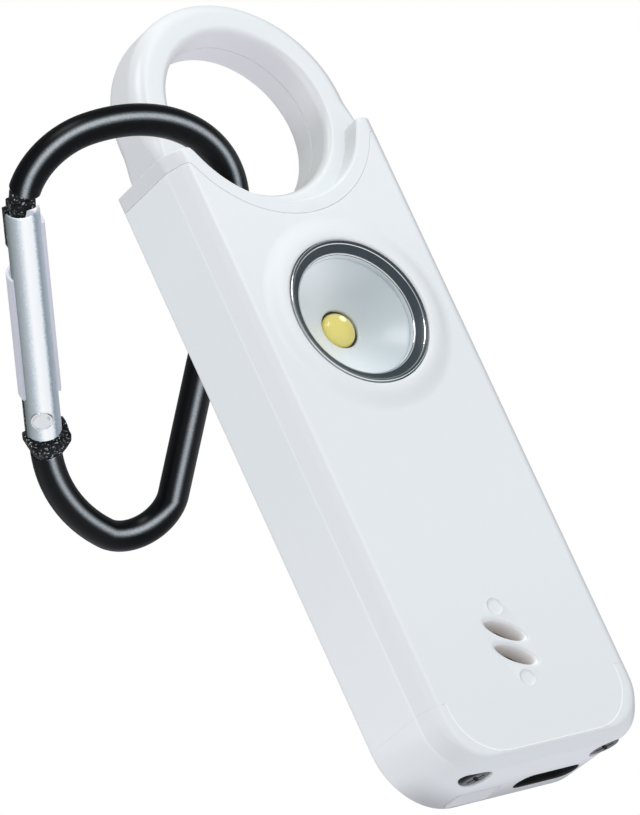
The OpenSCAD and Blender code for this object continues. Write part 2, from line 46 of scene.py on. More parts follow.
# lengths in mm: plan corners are x, y and radius, from the middle of the front to the middle of the back
shell = {"plan": ((0, -6.3, 0), (14.1, -6.3, 1.7), (15.5, -4.0, 1.1), (15.5, 5.4, 0.6), (14.6, 6.3, 0.6),
                  (0, 6.3, 0)),
         "flatSteps": 72, "ringZ": 83.4, "seamZ": 77.4, "saddle": 14.6, "saddleSoft": 0.3, "capZ": 8.2,
         "gap": 0.004, "topRoll": (0.09, 0.7), "lowRoll": (0.008, 0.4)}  # rolls are bend and depth


def srgb(code):
    code = code.lstrip("#")
    out = []
    for i in (0, 2, 4):
        c = int(code[i:i + 2], 16) / 255.0
        out.append(c / 12.92 if c <= 0.04045 else ((c + 0.055) / 1.055) ** 2.4)
    return (out[0], out[1], out[2], 1.0)


def feed(node, slot, value):
    if isinstance(value, bpy.types.Node):
        value = [s for s in value.outputs if s.enabled][0]
    if isinstance(value, bpy.types.NodeSocket):
        node.id_data.links.new(value, node.inputs[slot])
    else:
        node.inputs[slot].default_value = srgb(value) if isinstance(value, str) else value


def addNode(tree, kind, feeds=(), stops=(), **settings):
    node = tree.nodes.new("ShaderNode" + kind)
    node.location.x = 220 * len(tree.nodes)
    for key, value in settings.items():
        setattr(node, key, value)
    for slot, value in feeds.items() if isinstance(feeds, dict) else enumerate(feeds):
        feed(node, slot, value)
    if stops:
        marks = node.color_ramp.elements
        marks[0].position, marks[0].color = stops[0][0], srgb(stops[0][1])
        marks[1].position, marks[1].color = stops[-1][0], srgb(stops[-1][1])
        for at, colour in stops[1:-1]:
            marks.new(at).color = srgb(colour)
    return node


def newMaterial(name, colour, rough=0.5, metal=0.0, coat=0.0, spec=0.5):
    mat = bpy.data.materials.new(name)
    mat.use_nodes = True
    mat.node_tree.nodes.clear()
    finish = {"Base Color": colour, "Roughness": rough, "Metallic": metal, "Coat Weight": coat,
              "Coat Roughness": 0.08, "Specular IOR Level": spec}
    skin = addNode(mat.node_tree, "BsdfPrincipled", finish, name="skin")
    addNode(mat.node_tree, "OutputMaterial", (skin,))
    return mat


def dress(mat, base=None, glow=None):
    skin = mat.node_tree.nodes["skin"]
    if base is not None:
        feed(skin, "Base Color", base)
    if glow is not None:
        feed(skin, "Emission Color", glow)
        feed(skin, "Emission Strength", 1.0)


# one colour over another, softly, where a value goes from low to high
def layColour(tree, under, over, value, low, high):
    amount = addNode(tree, "MapRange", (value, low, high), interpolation_type="SMOOTHSTEP")
    return addNode(tree, "Mix", {0: amount, 6: under, 7: over}, data_type="RGBA")


# noise added to a value, grain in mm
def speckle(tree, value, amount, grain, detail=2.0):
    where = addNode(tree, "TexCoord").outputs["Object"]
    noise = addNode(tree, "TexNoise", {"Vector": where, "Scale": 1 / (grain * mm), "Detail": detail})
    shift = addNode(tree, "Math", (noise, amount, -amount / 2), operation="MULTIPLY_ADD")
    return addNode(tree, "Math", (value, shift), operation="ADD")


def placeOf(tree):
    where = addNode(tree, "TexCoord").outputs["Object"]
    return addNode(tree, "SeparateXYZ", (where,)).outputs


# white ABS, moulded satin: broad soft highlights; painted shade makes the bevelled edges a shade darker,
# painted light makes the lit top end a shade paler
def mouldedAbs(name, part):
    mat = newMaterial(name, "#E6EAEC", 0.34, spec=0.45)
    tree = mat.node_tree
    place = placeOf(tree)
    facing = addNode(tree, "SeparateXYZ", (addNode(tree, "TexCoord").outputs["Normal"],)).outputs
    left = addNode(tree, "Math", (facing["X"], -1.0), operation="MULTIPLY")
    slant = addNode(tree, "Math", (facing["X"], facing["Y"]), operation="MULTIPLY")
    bevelShade = addNode(tree, "Math", (slant,), operation="ABSOLUTE")
    # painted light and shade: the front a shade darker low down and paler near the top, the side paler low
    # down
    front = layColour(tree, "#E2E6E8", "#E6EAEC", place["Z"], 0.0, 30 * mm)
    front = layColour(tree, front, "#EDF1F3", place["Z"], 50 * mm, 72 * mm)
    side = layColour(tree, "#EEF1F3", "#E6EAEC", place["Z"], 0.0, 45 * mm)
    look = layColour(tree, front, side, left, 0.6, 0.95)
    # painted shade on the bevels between front and side
    look = layColour(tree, look, "#DADDDF", bevelShade, 0.2, 0.42)
    if part == "ring":
        drop = addNode(tree, "Math", (place["Z"], -shell["ringZ"] * mm), operation="ADD")
        spoke = addNode(tree, "CombineXYZ", (place["X"], drop))
        away = addNode(tree, "VectorMath", (spoke,), operation="LENGTH")
        # painted shade on the left-facing walls, deeper towards +X; in the bore, painted light on faces
        # looking down and painted shade on faces looking up
        wall = layColour(tree, "#D6D8DA", "#C6C9CA", place["X"], 0.0, 8 * mm)
        look = layColour(tree, look, wall, left, 0.3, 0.95)
        bore = layColour(tree, "#ECEBEF", "#C8CACA", facing["Z"], -0.25, 0.35)
        look = layColour(tree, bore, look, away, 10.5 * mm, 11.2 * mm)
    if part == "cap":
        # end cap: painted shade on the downward faces, deeper towards the back
        down = addNode(tree, "Math", (facing["Z"], -1.0), operation="MULTIPLY")
        under = layColour(tree, look, "#A9A9AC", down, 0.4, 0.95)
        look = layColour(tree, look, under, place["Y"], -1.0 * mm, 6.2 * mm)
    dress(mat, look)
    return mat


absBody = mouldedAbs("absBody", "body")
absRing = mouldedAbs("absRing", "ring")
absCap = mouldedAbs("absCap", "cap")
absEdgeHighlight = newMaterial("absEdgeHighlight", "#F8FAFB", 0.3, spec=0.6)  # moulded panel edge: painted highlight, a thin bright line
rubberPad = newMaterial("rubberPad", "#CDCFD2", 0.4, spec=0.4)  # soft pad: greyer than the shell
tintedAbs = newMaterial("tintedAbs", "#323D43", 0.35, spec=0.35)  # dark moulded bezel: slate grey, soft sheen
chromePlate = newMaterial("chromePlate", "#F2F5F6", 0.12, metal=1.0)  # plated rims: thin bright lines
steelWire = newMaterial("steelWire", "#B9BDC1", 0.3, metal=1.0)  # drawn steel: plain grey shine
blackSteel = newMaterial("blackSteel", "#2A2C2C", 0.35, metal=0.7)  # blackened screws: dark, a little shine
zincEdgePaintedLight = newMaterial("zincEdgePaintedLight", "#D6D8E2", 0.45)  # folded flange of the gate: painted light, pale and flat in place of the sheet's reflection
boardGreen = newMaterial("boardGreen", "#1F6B3E", 0.4)  # glass-fibre board under green lacquer
boardWhite = newMaterial("boardWhite", "#E6E6DF", 0.5)  # white board and nylon plunger: matt
epoxyBlack = newMaterial("epoxyBlack", "#17181A", 0.45)  # moulded chips and cases: matt black
socketShadeBlack = newMaterial("socketShadeBlack", "#0B0B0C", 0.5)  # inside of the socket: painted shade, near black
brassSheet = newMaterial("brassSheet", "#B08D57", 0.35, metal=1.0)  # sounder disc: warm shine
foamBlack = newMaterial("foamBlack", "#2A2A2C", 0.9)  # cut foam: no shine
pouchFoil = newMaterial("pouchFoil", "#B7BBBF", 0.35, metal=0.8)  # laminated foil: dull silver
seatShade = newMaterial("seatShade", "#26241E", 0.5)  # gap round the dome: painted shade, a dark line

# black anodised aluminium rod: a painted highlight, one soft line along its crest, grain drawn at 0.2 mm so
# that it shows
anodisedRod = newMaterial("anodisedRod", "#08090B", 0.35, spec=0.1)
rodTree = anodisedRod.node_tree
rodHighlight = addNode(rodTree, "Attribute", attribute_name="shine").outputs["Fac"]
rodGrain = addNode(rodTree, "Math", (rodHighlight, speckle(rodTree, 1.0, 0.5, 0.2)), operation="MULTIPLY")
rodStops = ((0.0, "#060709"), (0.25, "#191C1F"), (0.6, "#5E6468"), (1.0, "#B2B8BB"))
dress(anodisedRod, addNode(rodTree, "ValToRGB", (rodGrain,), rodStops))

# zinc-plated sheet, rolled: painted reflection, a white painted highlight along the middle lifted by a
# painted glow, greys to both sides; spangle coarse enough to show
zincSheet = newMaterial("zincSheet", "#D9DDE0", 0.42, metal=0.2)
zincTree = zincSheet.node_tree
zincAcross = addNode(zincTree, "Attribute", attribute_name="across").outputs["Fac"]
zincGrain = speckle(zincTree, zincAcross, 0.09, 0.2222)
zincReflectionStops = ((0.05, "#E0E7EF"), (0.2, "#AFBDC7"), (0.27, "#95A4B0"), (0.33, "#F6FBFC"), (0.5, "#FFFFFF"),
             (0.545, "#E1EDF0"), (0.595, "#C0C8CF"), (0.65, "#AAB5B8"), (0.71, "#9AA5A8"), (0.79, "#748184"),
             (0.95, "#A1ADB7"))
zincPaintedGlow = ((0.3, "#000000"), (0.35, "#5C5E60"), (0.47, "#666868"), (0.53, "#000000"))
dress(zincSheet, addNode(zincTree, "ValToRGB", (zincGrain,), zincReflectionStops),
      addNode(zincTree, "ValToRGB", (zincGrain,), zincPaintedGlow))

# hammered steel rivet: uneven bright head
rivetSteel = newMaterial("rivetSteel", "#EDEFF0", 0.2, metal=1.0)
rivetTree = rivetSteel.node_tree
rivetDents = speckle(rivetTree, 0.5, 1.0, 0.6667, 3.0)
rivetHump = addNode(rivetTree, "Bump", {"Strength": 0.35, "Distance": 0.1 * mm, "Height": rivetDents})
feed(rivetTree.nodes["skin"], "Normal", rivetHump)

# black paint broken where the rod's ends were pressed flat: pale specks, drawn at 0.28 mm so that they show
crackedPaint = newMaterial("crackedPaint", "#1A1B1D", 0.45, spec=0.15)
paintTree = crackedPaint.node_tree
paintSpeck = addNode(paintTree, "MapRange", (speckle(paintTree, 0.5, 1.0, 0.2778), 0.5, 0.72),
                     interpolation_type="SMOOTHSTEP")
paintStops = ((0.0, "#0A0D0F"), (0.45, "#1C2122"), (1.0, "#B0B5B6"))
dress(crackedPaint, addNode(paintTree, "ValToRGB", (paintSpeck,), paintStops))

# white moulded reflector: a painted glow makes it pale at the top and the bottom, painted shade gives a grey
# turn on the right
absReflector = newMaterial("absReflector", "#DDE4E8", 0.3)
coneTree = absReflector.node_tree
conePlace = placeOf(coneTree)
coneSlope = addNode(coneTree, "Math", (conePlace["X"], 0.53, conePlace["Z"]), operation="MULTIPLY_ADD")
coneLow = addNode(coneTree, "MapRange", (coneSlope, 49.7 * mm, 61.2 * mm), interpolation_type="SMOOTHSTEP")
coneStops = ((0.0, "#3C454A"), (0.55, "#000000"), (1.0, "#000000"))
conePaintedGlow = addNode(coneTree, "ValToRGB", (coneLow,), coneStops)
conePaintedGlow = layColour(coneTree, conePaintedGlow, "#54575A", conePlace["Z"], 58.5 * mm, 62.5 * mm)
dress(absReflector, layColour(coneTree, "#EDF3F5", "#BFC9CD", conePlace["X"], -4.0 * mm, 5.0 * mm), conePaintedGlow)

# phosphor in a clear silicone dome: warm yellow lifted by a faint painted glow, with one small painted
# highlight
phosphorDome = newMaterial("phosphorDome", "#EADB76", 0.3, coat=0.5)
domeTree = phosphorDome.node_tree
domeWhere = addNode(domeTree, "TexCoord").outputs["Object"]
domeHighlightSpot = Vector((0.35, -3.1, 56.54)) * mm
domeAway = addNode(domeTree, "VectorMath", (domeWhere, domeHighlightSpot), operation="DISTANCE")
dress(phosphorDome, None, layColour(domeTree, "#E8E4C8", "#3A3618", domeAway, 0.2 * mm, 0.6 * mm))

# the shell's ABS inside the sound slots: painted shade, warmer and darker with depth, and a painted glow
# lifting the depths
absSlot = newMaterial("absSlot", "#E6EAEC", 0.5)
slotTree = absSlot.node_tree
slotDeep = placeOf(slotTree)["Y"]
dress(absSlot, layColour(slotTree, "#F0F0F0", "#D2CECB", slotDeep, -6.1 * mm, -4.0 * mm),
      layColour(slotTree, "#000000", "#474644", slotDeep, -6.0 * mm, -4.4 * mm))

# clear polycarbonate window: seen only where it turns edge-on
clearWindow = bpy.data.materials.new("clearWindow")
clearWindow.use_nodes = True
windowTree = clearWindow.node_tree
windowTree.nodes.clear()
windowEdge = addNode(windowTree, "LayerWeight", {"Blend": 0.1}).outputs["Facing"]
windowShare = addNode(windowTree, "Math", (windowEdge, 0.3), operation="MULTIPLY")
windowShine = addNode(windowTree, "BsdfGlossy", {"Roughness": 0.05})
windowClear = addNode(windowTree, "BsdfTransparent")
windowMix = addNode(windowTree, "MixShader", (windowShare, windowClear, windowShine))
addNode(windowTree, "OutputMaterial", (windowMix,))

nodeLook = {
    "housing": absBody, "end_cap": absBody, "pull_top": absBody, "end_screws": blackSteel,
    "pull_pin": steelWire, "bezel_ring": tintedAbs, "lens_window": clearWindow, "reflector": absReflector,
    "led_dome": phosphorDome, "led_board": boardWhite, "main_board": boardGreen, "board_chips": epoxyBlack,
    "usb_shell": socketShadeBlack, "usb_tongue": epoxyBlack, "battery_cell": pouchFoil, "battery_pad": foamBlack,
    "battery_tabs": steelWire, "siren_case": epoxyBlack, "siren_disc": brassSheet, "siren_gasket": foamBlack,
    "switch_body": epoxyBlack, "switch_plunger": boardWhite, "carabiner_body": anodisedRod,
    "carabiner_gate": zincSheet, "gate_rivet": zincSheet, "gate_spring": steelWire,
}
for nodeName, look in nodeLook.items():
    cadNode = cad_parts[nodeName]
    cadNode.data.materials.clear()
    cadNode.data.materials.append(look)
print("stage: materials set")


def smooth(f):
    return f * f * (3 - 2 * f)


def roundPath(corners, segs=7):
    out = [corners[0][:2]]
    for before, (x, y, radius), after in zip(corners, corners[1:], corners[2:]):
        corner = Vector((x, y))
        d0 = (corner - Vector(before[:2])).normalized()
        d1 = (Vector(after[:2]) - corner).normalized()
        turn = math.acos(max(-1.0, min(1.0, d0.dot(d1))))
        side = 1 if d0.x * d1.y - d0.y * d1.x > 0 else -1
        start = corner - d0 * radius * math.tan(turn / 2)
        arm = Vector((d0.y, -d0.x)) * side * radius
        for k in range(segs + 1):
            a = turn * k / segs * side
            out.append((start.x - arm.x + arm.x * math.cos(a) - arm.y * math.sin(a),
                        start.y - arm.y + arm.x * math.sin(a) + arm.y * math.cos(a)))
    out.append(corners[-1][:2])
    return out


def circleRing(cx, cy, r, steps=40):
    turns = [2 * math.pi * k / steps for k in range(steps)]
    return [(cx + r * math.cos(a), cy + r * math.sin(a)) for a in turns]


def stadiumRing(cx, cy, w, h, steps=16):
    out = []
    r = h / 2
    for side in (1, -1):
        for k in range(steps + 1):
            a = -math.pi / 2 + math.pi * k / steps
            out.append((cx + side * (w / 2 - r + r * math.cos(a)), cy + side * r * math.sin(a)))
    return out


def boxRing(cx, cy, w, h, r, steps=6):
    out = []
    for sx, sy, start in ((1, -1, -90), (1, 1, 0), (-1, 1, 90), (-1, -1, 180)):
        for k in range(steps + 1):
            a = math.radians(start + 90 * k / steps)
            out.append((cx + sx * (w / 2 - r) + r * math.cos(a), cy + sy * (h / 2 - r) + r * math.sin(a)))
    return out


# an oval whose ends get fuller with power, turned about its middle
def ovalRing(cy, length, width, power, turn, steps=64):
    out = []
    for k in range(steps):
        c, s = math.cos(2 * math.pi * k / steps), math.sin(2 * math.pi * k / steps)
        x = math.copysign(abs(c) ** (2 / power), c) * length / 2
        y = math.copysign(abs(s) ** (2 / power), s) * width / 2
        out.append((x * math.cos(turn) - y * math.sin(turn), cy + x * math.sin(turn) + y * math.cos(turn)))
    return out


def insideLoop(x, y, loop):
    hit = False
    for (xi, yi), (xj, yj) in zip(loop, loop[-1:] + loop[:-1]):
        if (yi > y) != (yj > y) and x < (xj - xi) * (y - yi) / (yj - yi) + xi:
            hit = not hit
    return hit


# cuts loops out of the faces that inBlock picks, seen along Z, and returns their rims
def cutHoles(bm, inBlock, loops, margin):
    tree = BVHTree.FromBMesh(bm)
    block = [f for f in bm.faces if inBlock(f.calc_center_median() / mm)]
    inside = set(block)
    rimEdges = [e for f in block for e in f.edges if len([g for g in e.link_faces if g in inside]) == 1]
    rimVerts = {v for e in rimEdges for v in e.verts}

    def nearLoop(x, y, loop):
        return insideLoop(x, y, loop) or min(math.hypot(x - a, y - b) for a, b in loop) < margin

    verts = []
    dropped = []
    for v in {v for f in block for v in f.verts}:
        near = v not in rimVerts and any(nearLoop(v.co.x / mm, v.co.y / mm, loop) for loop in loops)
        (dropped if near else verts).append(v)
    bmesh.ops.delete(bm, geom=block, context="FACES_ONLY")
    number = {v: i for i, v in enumerate(verts)}
    flat = [Vector((v.co.x / mm, v.co.y / mm)) for v in verts]
    edges = [(number[e.verts[0]], number[e.verts[1]]) for e in rimEdges]
    rims = []
    for loop in loops:
        first = len(verts)
        rim = [bm.verts.new(tree.ray_cast(Vector((x, y, -9)) * mm, zAxis)[0]) for x, y in loop]
        flat += [Vector(p) for p in loop]
        verts += rim
        edges += [(first + i, first + (i + 1) % len(loop)) for i in range(len(loop))]
        rims.append(rim)
    step = {}
    for e in rimEdges:
        for a, b in ((0, 1), (1, 0)):
            step.setdefault(e.verts[a], []).append(e.verts[b])
    border = list(rimEdges[0].verts)
    while border[-1] != border[0]:
        border.append([v for v in step[border[-1]] if v != border[-2]][0])
    outline = [(v.co.x / mm, v.co.y / mm) for v in border[:-1]]
    found = delaunay_2d_cdt(flat, edges, [], 0, 1e-7)
    for face in found[2]:
        ids = [found[3][i][0] for i in face if found[3][i]]
        if len(ids) != 3:
            continue
        cx, cy = sum((flat[i] for i in ids), Vector((0, 0))) / 3
        if insideLoop(cx, cy, outline) and not any(insideLoop(cx, cy, loop) for loop in loops):
            bm.faces.new([verts[i] for i in ids])
    bmesh.ops.delete(bm, geom=dropped, context="VERTS")
    return rims


# walls from a rim: each step is how far in and how far up
def holeWall(bm, rim, center, steps):
    last = rim
    for shrink, rise in steps:
        row = []
        for v in rim:
            move = Vector((center[0] - v.co.x / mm, center[1] - v.co.y / mm)).normalized() * shrink
            row.append(bm.verts.new(v.co + Vector((move.x, move.y, rise)) * mm))
        for i in range(len(row)):
            k = (i + 1) % len(row)
            bm.faces.new((last[i], last[k], row[k], row[i]))
        last = row


def addGrid(bm, rows, closeRow=False, looks=None):
    grid = [[bm.verts.new(Vector(p) * mm) for p in row] for row in rows]
    n = len(rows[0])
    for i in range(len(rows) - 1):
        for j in range(n if closeRow else n - 1):
            k = (j + 1) % n
            face = bm.faces.new((grid[i][j], grid[i][k], grid[i + 1][k], grid[i + 1][j]))
            face.material_index = looks[i] if looks else 0
    return grid


def fillLoops(bm, loops):
    edges = []
    for loop in loops:
        verts = [bm.verts.new(Vector(p) * mm) for p in loop]
        edges += [bm.edges.new((verts[i - 1], verts[i])) for i in range(len(verts))]
    bmesh.ops.triangle_fill(bm, use_beauty=True, use_dissolve=False, edges=edges)


# spins a profile, given as distance out and place along the axis
def spinProfile(bm, profile, center, axis, out, steps=128, look=0):
    old = set(bm.faces)
    verts = [bm.verts.new((Vector(center) + out * r + axis * d) * mm) for r, d in profile]
    edges = [bm.edges.new(pair) for pair in zip(verts, verts[1:])]
    bmesh.ops.spin(bm, geom=verts + edges, cent=Vector(center) * mm, axis=axis, dvec=(0, 0, 0),
                   angle=2 * math.pi, steps=steps, use_merge=True)
    for face in set(bm.faces) - old:
        face.material_index = look


def finishPiece(name, bm, looks, nodes, body, angle=32):
    bmesh.ops.remove_doubles(bm, verts=bm.verts, dist=0.002 * mm)
    bmesh.ops.recalc_face_normals(bm, faces=bm.faces)
    mesh = bpy.data.meshes.new(name)
    bm.to_mesh(mesh)
    bm.free()
    mesh.polygons.foreach_set("use_smooth", [True] * len(mesh.polygons))
    mesh.set_sharp_from_angle(angle=math.radians(angle))
    for mat in looks:
        mesh.materials.append(mat)
    obj = bpy.data.objects.new(name, mesh)
    scene.collection.objects.link(obj)
    mod = obj.modifiers.new("weights", "WEIGHTED_NORMAL")
    mod.keep_sharp = True
    mod.mode = "FACE_AREA"
    if nodes:
        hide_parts(*nodes)
    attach(obj, body)
    return obj


planHalf = roundPath(shell["plan"])
frontY, backY = planHalf[0][1], planHalf[-1][1]
flatX, backX = planHalf[1][0], planHalf[-2][0]


# round the shell from the front's left edge: x, y and the outward normal
def skinPath(flatSteps):
    path = [(-flatX + 2 * flatX * k / flatSteps, frontY) for k in range(flatSteps)]
    path += planHalf[1:-1]
    path += [(backX - 2 * backX * k / flatSteps, backY) for k in range(1, flatSteps)]
    path += [(-x, y) for x, y in reversed(planHalf[2:-1])]
    out = []
    for i in range(len(path)):
        run = (Vector(path[(i + 1) % len(path)]) - Vector(path[i - 1])).normalized()
        out.append((path[i][0], path[i][1], run.y, -run.x))
    return out


# height of the saddle under the ring, eased into the flat horns
def saddleHeight(x, radius, top, k):
    z = shell["ringZ"] - math.sqrt(max(radius * radius - x * x, 0.0))
    low = min(z, top)
    return low - k * math.log(math.exp((low - z) / k) + math.exp((low - top) / k))


# rolls an edge over by its radius, then goes straight in by depth
def edgeRoll(edges, normals, radius, depth, downward, steps=4):
    n = len(edges)
    bends = radius if isinstance(radius, list) else [radius] * n
    depths = depth if isinstance(depth, list) else [depth] * n
    ups = []
    for i in range(n):
        run = Vector(edges[(i + 1) % n]) - Vector(edges[i - 1])
        up = Vector(normals[i]).cross(run).normalized()
        ups.append(up if (up.z < 0) == downward else -up)
    rows = []
    for k in range(steps + 1):
        f = math.pi / 2 * k / steps
        moves = [ups[i] * (1 - math.sin(f)) - Vector(normals[i]) * (1 - math.cos(f)) for i in range(n)]
        rows.append([Vector(edges[i]) + moves[i] * bends[i] for i in range(n)])
    rows.append([Vector(edges[i]) - Vector(normals[i]) * depths[i] for i in range(n)])
    return rows


tongue = {"half": 12.55, "low": 1.34, "bend": 6.0,  # front panel's lower end, its line as inset and depth
          "line": ((0.05, 0.0), (0.03, -0.004), (-0.02, -0.006), (-0.06, 0.0), (-0.06, 0.3))}
boss = {"z": 55.67, "rim": 12.6, "slope": 2.7, "rise": 0.58,  # lip from the crest into the bore
        "lip": ((9.75, -0.585), (9.6, -0.58), (9.42, -0.55), (9.28, -0.48), (9.2, -0.38), (9.18, -0.2),
                (9.18, 1.0))}
slots = {"z": 13.5, "apart": 1.5, "turn": math.radians(-30),  # length, width, power and depth of each step
         "wall": ((6.9, 2.7, 2.2, 0.0), (6.5, 2.45, 2.2, 0.02), (6.1, 2.25, 2.1, 0.07),
                  (5.75, 2.08, 2.0, 0.14), (5.5, 1.96, 1.95, 0.24), (5.36, 1.88, 1.9, 0.38),
                  (5.28, 1.82, 1.9, 0.6), (5.2, 1.78, 1.9, 1.2), (5.2, 1.78, 1.9, 2.5))}
dimples = {"apart": 4.5, "steps": 40,  # a raised rim, then a shallow floor
           "wall": ((1.25, 0.0), (1.16, -0.03), (1.06, -0.035), (0.97, 0.02), (0.9, 0.09), (0.8, 0.13),
                    (0.55, 0.15), (0.0, 0.15))}


def tongueLoop(inset, top, steps=14):
    half, low, bend = tongue["half"] - inset, tongue["low"] + inset, tongue["bend"]
    out = [(half, top)]
    for side, start in ((1, 0.0), (-1, -math.pi / 2)):
        for k in range(steps + 1):
            a = start - math.pi / 2 * k / steps
            out.append((side * (half - bend) + bend * math.cos(a), low + bend + bend * math.sin(a)))
    out.append((-half, top))
    return out


def onFront(loop, depth=0.0):
    return [(x, frontY + depth, z) for x, z in loop]


housingBm = bmesh.new()
flatSteps = shell["flatSteps"]
path = skinPath(flatSteps)
normals = [(nx, ny, 0) for x, y, nx, ny in path]
seam = (shell["saddle"], shell["seamZ"], shell["saddleSoft"])
topEdge = [(x, y, saddleHeight(x, *seam)) for x, y, nx, ny in path]
lowEdge = [(x, y, shell["capZ"] + shell["gap"]) for x, y, nx, ny in path]
topRows = edgeRoll(topEdge, normals, *shell["topRoll"], True)
lowRows = edgeRoll(lowEdge, normals, *shell["lowRoll"], False, 3)
wallRun = list(range(flatSteps, len(path))) + [0]
addGrid(housingBm, topRows, True)
addGrid(housingBm, [[row[i] for i in wallRun] for row in reversed(lowRows)])
addGrid(housingBm, [[rows[0][i] for i in wallRun] for rows in (lowRows, topRows)])
panelZ = lowRows[0][0][2]
panelEdge = [(p[0], p[2]) for p in topRows[0][:flatSteps + 1]]
panelEdge += [(flatX, panelZ)] + tongueLoop(tongue["line"][0][0], panelZ) + [(-flatX, panelZ)]
slotPlaces = [slots["z"] + d for d in (-slots["apart"], slots["apart"])]
dimplePlaces = [slots["z"] + d for d in (-dimples["apart"], dimples["apart"])]
panelHoles = [ovalRing(z, *slots["wall"][0][:3], slots["turn"]) for z in slotPlaces]
panelHoles += [circleRing(0, z, dimples["wall"][0][0], dimples["steps"]) for z in dimplePlaces]
panelHoles.append(circleRing(0, boss["z"], boss["rim"], 128))
fillLoops(housingBm, [onFront(loop) for loop in [panelEdge] + panelHoles])
# the panel's lower edge line carries a painted highlight
lineRows = [onFront(tongueLoop(inset, panelZ), depth) for inset, depth in tongue["line"]]
addGrid(housingBm, lineRows, False, [1, 1, 1, 1])
bossSteps = [k / 16 for k in range(17)]
bossProfile = [(boss["rim"] - boss["slope"] * t, frontY - boss["rise"] * smooth(t)) for t in bossSteps]
bossProfile += [(r, frontY + d) for r, d in boss["lip"]]
spinProfile(housingBm, bossProfile, (0, 0, boss["z"]), yAxis, xAxis)
for z in slotPlaces:
    slotRows = []
    for length, width, power, depth in slots["wall"]:
        slotRows.append(onFront(ovalRing(z, length, width, power, slots["turn"]), depth))
    addGrid(housingBm, slotRows, True, [0, 0, 0, 2, 2, 2, 2, 2])
for z in dimplePlaces:
    dimpleProfile = [(r, frontY + d) for r, d in dimples["wall"]]
    spinProfile(housingBm, dimpleProfile, (0, 0, z), yAxis, xAxis, dimples["steps"])
finishPiece("housingShell", housingBm, [absBody, absEdgeHighlight, absSlot], ["housing"], "body")
print("stage: housing made")

# end profile is z, y and radius; the corner bend grows towards the back
capEnd = {"profile": ((3.0, -6.3, 0), (1.0, -6.3, 0.55), (0.0, -4.3, 1.3), (0.0, 5.85, 0.35),
                      (0.3, 6.3, 0.3), (3.0, 6.3, 0)),
          "bend": 6.4, "narrow": 0.55, "rearBend": 1.8, "rearY": -2.0, "lip": 0.06, "lipBend": 6.04,
          "lipDepth": 0.4, "wall": 1.2, "flatX": 13.0, "flatZ": 2.6, "flatY": (-5.4, 5.84), "margin": 0.16}
port = {"x": 4.4, "y": 2.9, "w": 9.18, "h": 3.44, "soft": 0.3,
        "wall": ((0.05, 0.02), (0.1, 0.07), (0.13, 0.14)),
        "lining": ((0.05, 0.13), (0.0, 0.2), (-0.03, 0.4), (-0.03, 1.5))}
screws = {"x": 9.66, "y": -2.25, "pocket": 1.95, "soft": 0.12,
          "wall": ((0.04, 0.01), (0.09, 0.05), (0.12, 0.12), (0.12, 1.2)),
          "profile": ((0.0, 8.2), (0.9, 8.2), (0.95, 1.6), (1.84, 1.55), (1.84, 0.42), (1.8, 0.3),
                      (1.7, 0.23), (1.55, 0.2)),
          "cross": ((0.24, -0.24), (1.12, -0.2), (1.16, 0.0), (1.12, 0.2)), "crossZ": 1.0, "crossTaper": 0.55}
pad = {"x": -6.05, "y": 3.72, "w": 6.4, "h": 3.6, "corner": 0.72, "soft": 0.2, "rim": 0.8,
       "wall": ((0.03, 0.02), (0.05, 0.06), (0.05, 0.6)),
       "edge": ((0.0, 1.2), (0.0, 0.22), (0.03, 0.1), (0.1, 0.03), (0.22, 0.0))}
capTop = shell["capZ"] - shell["gap"]


# one run down the left side, across the end and up the right side
def capRow(sideX, endZ, sideY, endY, bend, arcSteps=18, flatSteps=16):
    left = [(sideX, capTop + (endZ + bend - capTop) * k / 4, 0) for k in range(4)]
    for k in range(arcSteps + 1):
        a = math.pi / 2 * k / arcSteps
        left.append((sideX - bend + bend * math.cos(a), endZ + bend - bend * math.sin(a), k / arcSteps))
    flat = [(-(sideX - bend) * (1 - 2 * k / flatSteps), endZ, 1) for k in range(1, flatSteps)]
    run = [(-x, z, f) for x, z, f in left] + flat + list(reversed(left))
    return [(x, sideY + (endY - sideY) * smooth(f), z) for x, z, f in run]


capBm = bmesh.new()
capRows = []
lastY = frontY
for (sideX, sideY), (endZ, endY) in zip(planHalf[1:-1], roundPath(capEnd["profile"])[1:-1]):
    rear = max(0.0, (endY - capEnd["rearY"]) / (backY - capEnd["rearY"]))
    inset = shell["plan"][2][0] - sideX
    bend = capEnd["bend"] - capEnd["narrow"] * inset + capEnd["rearBend"] * rear * rear
    row = capRow(sideX, endZ, sideY, endY, bend)
    if endY - lastY > 3:  # the long flat stretch gets rows of its own, for the holes
        before = capRows[-1]
        for k in range(1, 12):
            capRows.append([Vector(a).lerp(Vector(b), k / 12) for a, b in zip(before, row)])
    capRows.append(row)
    lastY = endY
lipSize = (tongue["half"] + capEnd["lip"], tongue["low"] - capEnd["lip"])
lip = [capRow(*lipSize, y, y, capEnd["lipBend"]) for y in (frontY + capEnd["lipDepth"], frontY)]
addGrid(capBm, lip + capRows)
fillLoops(capBm, [[(x, backY, z) for x, y, z in capRows[-1]]])
for side in (1, -1):
    rim = [(row[0][0] * side, row[0][1], row[0][2]) for row in capRows]
    addGrid(capBm, [rim, [(x + capEnd["wall"] * side, y, z) for x, y, z in rim]])
bmesh.ops.remove_doubles(capBm, verts=capBm.verts, dist=0.002 * mm)
portAt, padAt = (port["x"], port["y"]), (pad["x"], pad["y"])
screwsAt = [(side * screws["x"], screws["y"]) for side in (-1, 1)]
portLoop = stadiumRing(*portAt, port["w"] + port["soft"], port["h"] + port["soft"])
padLoop = boxRing(*padAt, pad["w"] + pad["soft"], pad["h"] + pad["soft"], pad["rim"])
capHoles = [(portLoop, portAt, port["wall"])]
